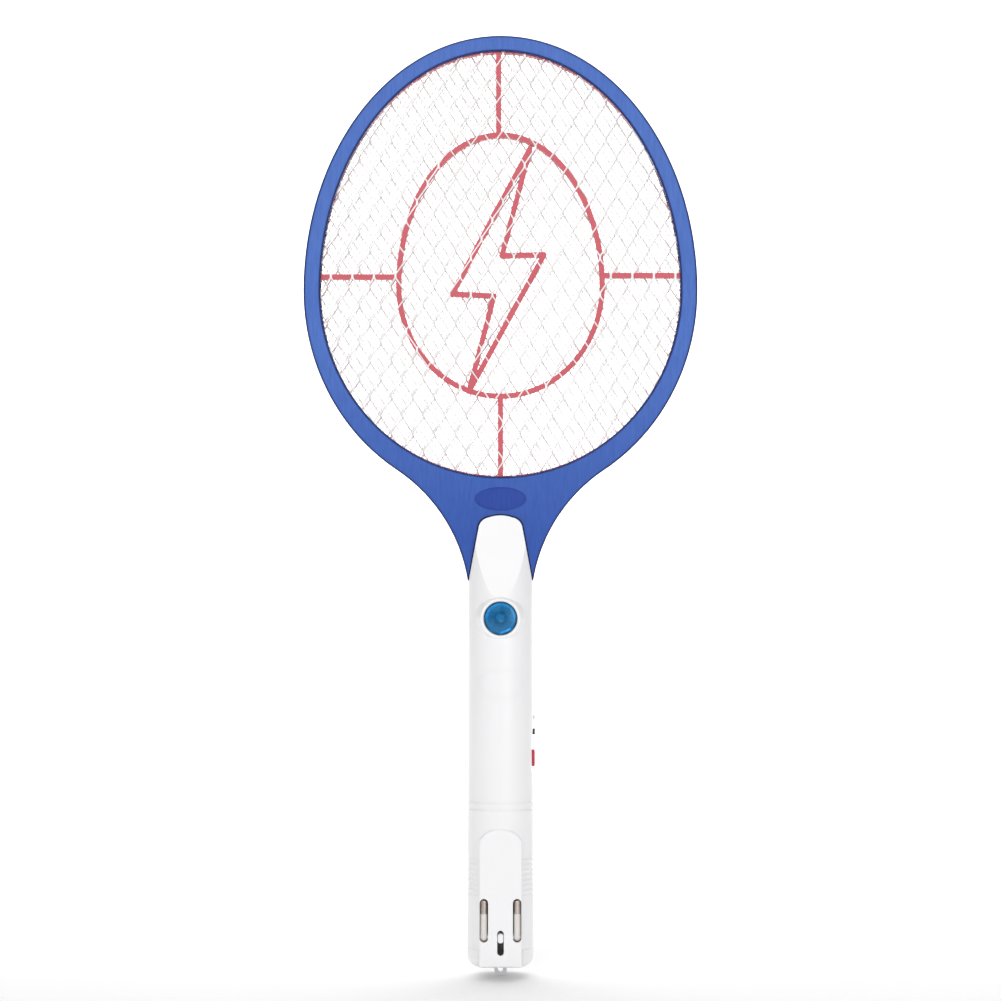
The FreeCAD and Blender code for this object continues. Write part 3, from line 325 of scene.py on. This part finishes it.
def wound_copper():
    """Enamelled wire wound in fine turns."""
    made = Nodes("winding_copper")
    turns = made.add("ShaderNodeTexWave", bands_direction="Z")
    turns.inputs["Scale"].default_value = 700.0
    turns.inputs["Distortion"].default_value = 0.4
    made.link(made.place, turns.inputs["Vector"])
    made.feed(Base_Color=made.ramp(turns.outputs["Fac"], (0.32, 0.10, 0.03), (0.75, 0.32, 0.12), 0.1, 0.9))
    made.feed(Normal=made.bump(turns.outputs["Fac"], 0.1 * MM))
    made.set(Roughness=0.3, Metallic=0.8)
    return made.material


def banded(name, body, band, pitch):
    """A small axial component with coloured rings across it."""
    made = Nodes(name)
    rings = made.add("ShaderNodeTexWave", bands_direction="X")
    rings.inputs["Scale"].default_value = 1 / pitch
    made.link(made.place, rings.inputs["Vector"])
    made.feed(Base_Color=made.ramp(rings.outputs["Fac"], body, band, 0.72, 0.78))
    made.feed(Normal=made.bump(made.noise(900.0), 0.02 * MM))
    made.set(Roughness=0.4)
    return made.material


def make_materials():
    """One material for each kind of surface, and the nodes that wear it."""
    blue = frame_blue("frame_blue", True)
    blue_rear = frame_blue("frame_blue_rear", False)
    white = plastic("white_plastic", (0.92, 0.92, 0.93), 0.32, grain=0.6 * MM, depth=0.004 * MM,
                    variation=0.006, Coat_Weight=0.2, Coat_Roughness=0.15)
    red = plastic("red_grid_plastic", (0.62, 0.10, 0.13), 0.42, grain=0.8 * MM, depth=0.02 * MM)
    button = plastic("red_button_plastic", (0.55, 0.035, 0.06), 0.3, depth=0.01 * MM)
    black = plastic("black_plastic", (0.018, 0.018, 0.02), 0.42, depth=0.02 * MM, variation=0.2)
    steel = metal("screw_steel", (0.60, 0.60, 0.62), 0.3)
    nickel = metal("pin_nickel", (0.62, 0.55, 0.50), 0.3, stretch=(1, 1, 0.15))
    brass = metal("contact_brass", (0.80, 0.60, 0.28), 0.3)
    sleeve = plastic("sleeve_plastic", (0.80, 0.76, 0.73), 0.45, depth=0.01 * MM)
    mirror = metal("reflector_chrome", (0.95, 0.96, 0.97), 0.12, depth=0.002 * MM, Metallic=0.6)
    wire = plastic("wire_red", (0.55, 0.02, 0.02), 0.4)
    cream = plastic("connector_cream", (0.78, 0.76, 0.66), 0.45)
    film = plastic("capacitor_film", (0.42, 0.05, 0.035), 0.3)
    disc = plastic("capacitor_blue", (0.06, 0.14, 0.42), 0.35)
    ferrite = plastic("ferrite_grey", (0.06, 0.06, 0.065), 0.6, grain=0.6 * MM, depth=0.03 * MM)
    can = plastic("capacitor_can", (0.04, 0.05, 0.09), 0.3)
    case = plastic("battery_case", (0.09, 0.10, 0.13), 0.5)
    worn_by = {
        blue: ["head_frame_front"],
        blue_rear: ["head_frame_rear"],
        white: ["handle_front_shell", "handle_rear_shell", "tail_cap", "plug_yoke"],
        red: ["spacer_grid_front", "spacer_grid_rear"],
        button: ["trigger_button"],
        black: ["trigger_plunger", "trigger_switch", "power_knob", "power_switch", "transistor"],
        steel: ["head_screws", "handle_screws", "board_screws", "plug_axle"],
        nickel: ["plug_pins"],
        brass: ["mesh_terminals", "battery_terminals", "plug_contacts"],
        sleeve: ["pin_sleeves"],
        mirror: ["lamp_reflector"],
        lens_plastic(): ["lamp_lens"],
        clear_plastic("led_clear", (0.80, 0.83, 0.86), 0.3): ["lamp_led"],
        clear_plastic("led_milky", (0.93, 0.93, 0.94), 0.15): ["indicator_led"],
        wire: ["mesh_leads", "battery_leads", "charger_leads"],
        board_green(): ["main_board", "charger_board", "lamp_board"],
        cream: ["lead_connector", "transformer_bobbin"],
        film: ["hv_capacitor", "dropper_capacitor"],
        disc: ["multiplier_capacitors"],
        ferrite: ["transformer_core"],
        wound_copper(): ["transformer_winding"],
        banded("diode_black", (0.02, 0.02, 0.02), (0.6, 0.6, 0.6), 9 * MM): ["hv_diodes", "charger_diodes"],
        banded("resistor_tan", (0.55, 0.42, 0.26), (0.30, 0.08, 0.03), 1.6 * MM): ["resistors"],
        can: ["smoothing_capacitor"],
        case: ["battery"],
    }
    for material, nodes in worn_by.items():
        for node in nodes:
            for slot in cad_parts[node].material_slots:
                slot.material = material
    return {material.name: material for material in worn_by}


# meshes --------------------------------------------------------------------------------------

def inside(point, grow):
    """Below 1 inside the racket's opening grown by this much, above 1 outside."""
    half, rise, drop = OPENING
    height = point[1] - HEAD_CENTRE
    reach = rise if height > 0 else drop
    return math.hypot(point[0] / (half + grow), height / (reach + grow))


def clipped(start, end, grow):
    """The stretch of a strand that lies inside the grown opening, or None."""
    first, last = inside(start, grow) < 1, inside(end, grow) < 1
    if first and last:
        return start, end
    if not first and not last:
        return None
    held, free = (start, end) if first else (end, start)
    low, high = 0.0, 1.0
    for _ in range(12):
        middle = (low + high) / 2
        point = [a + (b - a) * middle for a, b in zip(held, free)]
        low, high = (middle, high) if inside(point, grow) < 1 else (low, middle)
    return held, [a + (b - a) * low for a, b in zip(held, free)]


def lattice_strands(pitch, origin, bond, grow):
    """Strands of an expanded sheet, each from one bond to the next, clipped to the opening."""
    wide, tall = pitch
    columns = int(2 * (OPENING[0] + grow) / wide) + 3
    rows = int((OPENING[1] + OPENING[2] + 2 * grow) / tall) + 3
    strands = []
    for column in range(-columns, columns + 1):
        for row in range(-rows, rows + 1):
            x = origin[0] + column * wide / 2
            z = origin[1] + (row + 0.5 * (column % 2)) * tall
            for side in (-1, 1):
                start = (x, z + bond / 2)
                end = (x + side * wide / 2, z + tall / 2 - bond / 2)
                kept = clipped(start, end, grow)
                if kept:
                    strands.append((*kept, side))
            kept = clipped((x, z - bond / 2), (x, z + bond / 2), grow)
            if kept and bond > 0:
                strands.append((*kept, 0))
    return strands


def strand_mesh(name, strands, depth, width, thick, bow, wave):
    """One mesh of flat tilted ribbons, four-sided in section, that lie about the plane y = depth."""
    points, faces = [], []
    for start, end, side in strands:
        along = np.array([end[0] - start[0], 0.0, end[1] - start[1]])
        length = np.linalg.norm(along)
        if length < 0.2 * MM:
            continue
        along /= length
        across = np.array([-along[2], 0.0, along[0]])
        out = np.array([0.0, 1.0, 0.0])
        tilt = STRAND_TILT * side * (1 if along[2] > 0 else -1)
        turned = across * math.cos(tilt) + out * math.sin(tilt)
        normal = -across * math.sin(tilt) + out * math.cos(tilt)
        half = width * (0.5 if side else BOND_WIDENING)
        base = len(points)
        rings = 5 if bow else 2
        for i in range(rings):
            t = i / (rings - 1)
            x = start[0] + (end[0] - start[0]) * t
            z = start[1] + (end[1] - start[1]) * t
            rise = bow * math.sin(math.pi * t) * side
            sag = wave * math.sin(WAVE_ACROSS * x + WAVE_START) * math.sin(WAVE_UP * z)
            centre = np.array([x, depth + rise + sag, z])
            narrow = 1 - STRAND_WAIST * math.sin(math.pi * t)
            for a, b in ((-1, -1), (1, -1), (1, 1), (-1, 1)):
                points.append(centre + turned * (a * half * narrow) + normal * (b * thick / 2))
        for i in range(rings - 1):
            for k in range(4):
                first, second = base + 4 * i + k, base + 4 * i + (k + 1) % 4
                faces.append((first, second, second + 4, first + 4))
        faces.append((base + 3, base + 2, base + 1, base))
        last = base + 4 * (rings - 1)
        faces.append((last, last + 1, last + 2, last + 3))
    data = bpy.data.meshes.new(name)
    data.from_pydata([tuple(point) for point in points], [], faces)
    data.update()
    piece = bpy.data.objects.new(name, data)
    bpy.context.collection.objects.link(piece)
    return piece


def make_meshes():
    """The two outer meshes of large diamonds and the fine mesh between them."""
    outer = metal("mesh_aluminium", (0.96, 0.96, 0.955), 0.45, depth=0.01 * MM, Metallic=0.15)
    fine = metal("mesh_fine_aluminium", (0.66, 0.65, 0.64), 0.5, depth=0.01 * MM, Metallic=0.3)
    rear_origin = (MESH_ORIGIN[0] + 0.3 * MESH_PITCH[0], MESH_ORIGIN[1] + 0.22 * MESH_PITCH[1])
    for name, node, origin in (("expanded_mesh_front", "outer_mesh_front", MESH_ORIGIN),
                               ("expanded_mesh_rear", "outer_mesh_rear", rear_origin)):
        low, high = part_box(node)
        depth = (low[1] + high[1]) / 2
        strands = lattice_strands(MESH_PITCH, origin, MESH_BOND, MESH_TUCK)
        piece = strand_mesh(name, strands, depth, 0.78 * MM, 0.42 * MM, 0.08 * MM, 0.0)
        piece.data.materials.append(outer)
        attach(piece, "swatter")
        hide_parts(node)
    strands = lattice_strands(FINE_PITCH, MESH_ORIGIN, 0.0, MESH_TUCK)
    piece = strand_mesh("expanded_mesh_inner", strands, 0.0, 0.34 * MM, 0.22 * MM, 0.0, 0.08 * MM)
    piece.data.materials.append(fine)
    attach(piece, "swatter")
    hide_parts("inner_mesh")


# lamp ----------------------------------------------------------------------------------------

def revolved(name, profile, segments, smooth, flute=0.0):
    """A closed surface turned about the lamp's axis from a profile of (radius, distance in front).

    A flute above 0 draws every other segment in by that share of its radius.
    """
    points, faces, rings = [], [], []
    for radius, front in profile:
        if radius == 0:
            rings.append([len(points)])
            points.append((0.0, -front, LAMP_HEIGHT))
            continue
        rings.append(list(range(len(points), len(points) + segments)))
        for k in range(segments):
            angle = 2 * math.pi * k / segments
            reach = radius * (1 - flute * (k % 2))
            points.append((reach * math.cos(angle), -front, LAMP_HEIGHT + reach * math.sin(angle)))
    pairs = list(zip(rings, rings[1:]))
    if len(rings[0]) > 1:
        pairs.append((rings[-1], rings[0]))
    for first, second in pairs:
        for k in range(segments):
            after = (k + 1) % segments
            corners = [first[k % len(first)], first[after % len(first)],
                       second[after % len(second)], second[k % len(second)]]
            faces.append(tuple(dict.fromkeys(corners)))
    data = bpy.data.meshes.new(name)
    data.from_pydata(points, [], faces)
    shell = bmesh.new()
    shell.from_mesh(data)
    bmesh.ops.recalc_face_normals(shell, faces=shell.faces)
    shell.to_mesh(data)
    shell.free()
    if smooth:
        data.shade_smooth()
        data.set_sharp_from_angle(angle=math.radians(35))
    piece = bpy.data.objects.new(name, data)
    bpy.context.collection.objects.link(piece)
    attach(piece, "swatter")
    return piece


def make_lamp(surfaces):
    """A domed lens with a rim, and a reflector of flat facets behind it."""
    low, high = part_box("lamp_lens")
    front, back = -low[1], -high[1]
    play, wall, thickness = 0.25 * MM, 1.0 * MM, 1.2 * MM
    radius = high[0] - play
    bulge, crown = 1.5 * MM, 0.5 * MM
    bevel = radius - 0.9 * MM
    outer = [(bevel * i / 12, front - crown * (i / 12) ** 2) for i in range(13)]
    outer.append((radius, front - bulge))
    inner = [((radius - wall) * i / 10, front - thickness - bulge * 0.6 * (i / 10) ** 2)
             for i in range(10, -1, -1)]
    rim = [(radius, back), (radius - wall, back)]
    lens = revolved("lamp_lens_dome", outer + rim + inner, 72, True)
    lens.data.materials.append(surfaces["lens_blue"])
    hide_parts("lamp_lens")
    low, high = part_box("lamp_reflector")
    mouth, foot, wide = -low[1], -high[1], high[0]
    dish = [(2.9 * MM, foot), (4.0 * MM, foot + 2.2 * MM), (5.6 * MM, foot + 4.6 * MM),
            (7.3 * MM, mouth - 1.2 * MM), (8.2 * MM, mouth - 0.75 * MM), (wide - play, mouth)]
    skin = [(reach + play, depth - 0.1 * MM * (i > 0)) for i, (reach, depth) in enumerate(dish)]
    bowl = revolved("lamp_reflector_facets", dish + skin[::-1], 16, False, flute=0.06)
    bowl.data.materials.append(surfaces["reflector_chrome"])
    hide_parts("lamp_reflector")


make_camera()
make_studio()
make_floor()
surfaces = make_materials()
make_meshes()
make_lamp(surfaces)
